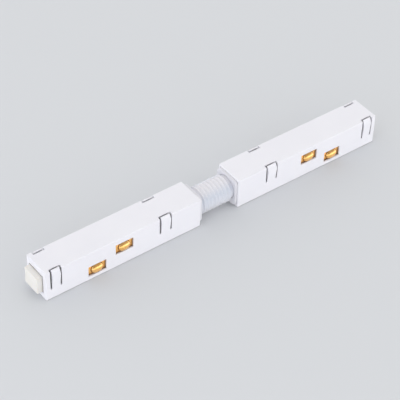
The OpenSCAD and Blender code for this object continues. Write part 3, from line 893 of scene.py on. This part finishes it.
def add_tent(overhead, walls, floor):
    """A light tent: bright low walls and a softer top, which is seen or mirrored as a pale ground."""
    world = bpy.data.worlds.new("light_tent")
    bpy.context.scene.world = world
    world.use_nodes = True
    tree = world.node_tree
    tree.nodes.clear()
    way = add_node(tree, "ShaderNodeTexCoord").outputs["Generated"]
    split = add_node(tree, "ShaderNodeSeparateXYZ", {"Vector": way}).outputs
    across, height = split["X"], split["Z"]

    # What lights the part: the walls are as bright below the horizon as at it, and fade quickly above it
    fading = 3.0
    low = add_node(tree, "ShaderNodeMath", {
        0: 1.0, 1: height}, operation="SUBTRACT", use_clamp=True).outputs["Value"]
    wall = add_node(tree, "ShaderNodeMath", {0: low, 1: fading}, operation="POWER").outputs["Value"]
    strength = add_node(tree, "ShaderNodeMapRange", {
        "Value": wall, "To Min": overhead, "To Max": walls}).outputs["Result"]
    light = add_node(tree, "ShaderNodeBackground", {"Color": (1.0, 1.0, 1.0, 1.0), "Strength": strength})

    # What the camera and the metal see: the floor's tint, shaded by height and a little by side
    level = add_node(tree, "ShaderNodeMapRange", {"Value": height, "From Min": -1.0}).outputs["Result"]
    shades = add_node(tree, "ShaderNodeValToRGB", {"Fac": level})
    stops = shades.color_ramp.elements
    for place, _ in MIRRORED_TENT[1:-1]:
        stops.new(place)
    for stop, (place, shade) in zip(stops, MIRRORED_TENT):
        stop.position = place
        stop.color = [shade * c / floor[1] for c in floor[:3]] + [1.0]
    by_side = add_node(tree, "ShaderNodeMapRange", {
        "Value": across, "From Min": -0.6, "From Max": 0.6, "To Min": 0.9, "To Max": 1.1})
    ground = add_node(tree, "ShaderNodeBackground", {
        "Color": shades.outputs["Color"], "Strength": by_side.outputs["Result"]})

    ray = add_node(tree, "ShaderNodeLightPath").outputs
    seen = add_node(tree, "ShaderNodeMath", {
        0: ray["Is Camera Ray"], 1: ray["Is Glossy Ray"]}, operation="MAXIMUM").outputs["Value"]
    seen = add_node(tree, "ShaderNodeMath", {
        0: seen, 1: ray["Is Transmission Ray"]}, operation="MAXIMUM").outputs["Value"]
    shown = add_node(tree, "ShaderNodeMixShader", {
        0: seen, 1: light.outputs["Background"], 2: ground.outputs["Background"]})
    add_node(tree, "ShaderNodeOutputWorld", {"Surface": shown.outputs["Shader"]})


def add_camera(s):
    """The camera, where the photograph was taken from."""
    lens = bpy.data.cameras.new("camera")
    lens.sensor_width, lens.lens = SENSOR_WIDTH, s.lens
    lens.shift_x, lens.shift_y = s.shift
    lens.clip_start, lens.clip_end = CLIP_NEAR, CLIP_FAR
    camera = bpy.data.objects.new("camera", lens)
    back = Vector((
        -math.sin(s.turn) * math.cos(s.elevation), -math.cos(s.turn) * math.cos(s.elevation),
        math.sin(s.elevation)))
    turned = (-back).to_track_quat("-Z", "Y").to_matrix().to_4x4()
    rolled = turned @ Matrix.Rotation(s.roll, 4, "Z")
    camera.matrix_world = Matrix.Translation(back * s.distance) @ rolled
    bpy.context.scene.collection.objects.link(camera)
    bpy.context.scene.camera = camera


class POWERFEED_OT_stage(bpy.types.Operator):
    """Set the floor, the lamps and the camera"""

    bl_idname = "power_feed.stage"
    bl_label = "Studio stage"

    def execute(self, context):
        s = context.scene.feed_stage
        half = s.floor_width / 2
        corners = [(-half, -half, 0), (half, -half, 0), (half, half, 0), (-half, half, 0)]
        mesh = bpy.data.meshes.new("studio_floor")
        mesh.from_pydata(corners, [], [(0, 1, 2, 3)])
        mesh.materials.append(floor_card("matt_card", s.floor))
        floor = bpy.data.objects.new("studio_floor", mesh)
        context.scene.collection.objects.link(floor)
        add_lamp(
            "left_lamp", s.left, s.left_tint,
            direction=(-0.97, -0.1, 0.2), distance=1.2, width=1.2, height=0.8)
        add_lamp(
            "right_lamp", s.right, s.right_tint,
            direction=(0.91, -0.39, 0.09), distance=1.2, width=0.4, height=0.4)
        add_tent(s.overhead, s.walls, s.floor)
        add_camera(s)
        context.scene.view_settings.view_transform = "Standard"
        return {"FINISHED"}


GROUPS = {
    "feed_mouldings": FeedMouldings,
    "feed_caps": FeedCaps,
    "feed_conduit": FeedConduit,
    "feed_contacts": FeedContacts,
    "feed_cores": FeedCores,
    "feed_stage": FeedStage,
}
OPERATORS = (
    POWERFEED_OT_stage,
    POWERFEED_OT_housings,
    POWERFEED_OT_caps,
    POWERFEED_OT_carriers,
    POWERFEED_OT_buses,
    POWERFEED_OT_contacts,
    POWERFEED_OT_conduit,
    POWERFEED_OT_cores,
)


class POWERFEED_PT_panel(bpy.types.Panel):
    """Settings and steps of the power feed"""

    bl_idname = "POWERFEED_PT_panel"
    bl_label = "Power Feed"
    bl_space_type = "VIEW_3D"
    bl_region_type = "UI"
    bl_category = "Power Feed"

    def draw(self, context):
        for name, group in GROUPS.items():
            box = self.layout.box()
            for setting in group.__annotations__:
                box.prop(getattr(context.scene, name), setting)
        for operator in OPERATORS:
            self.layout.operator(operator.bl_idname)


def register():
    """Make the settings, the steps and the panel known to Blender."""
    for name, group in GROUPS.items():
        bpy.utils.register_class(group)
        setattr(bpy.types.Scene, name, PointerProperty(type=group))
    for cls in (*OPERATORS, POWERFEED_PT_panel):
        bpy.utils.register_class(cls)


def unregister():
    """Take the panel, the steps and the settings out again."""
    for cls in (POWERFEED_PT_panel, *reversed(OPERATORS)):
        bpy.utils.unregister_class(cls)
    for name, group in reversed(GROUPS.items()):
        delattr(bpy.types.Scene, name)
        bpy.utils.unregister_class(group)


def main():
    """Build the scene step by step."""
    register()
    bpy.ops.power_feed.stage()
    bpy.ops.power_feed.housings()
    bpy.ops.power_feed.caps()
    bpy.ops.power_feed.carriers()
    bpy.ops.power_feed.buses()
    bpy.ops.power_feed.contacts()
    bpy.ops.power_feed.conduit()
    bpy.ops.power_feed.cores()


if __name__ == "__main__":
    main()
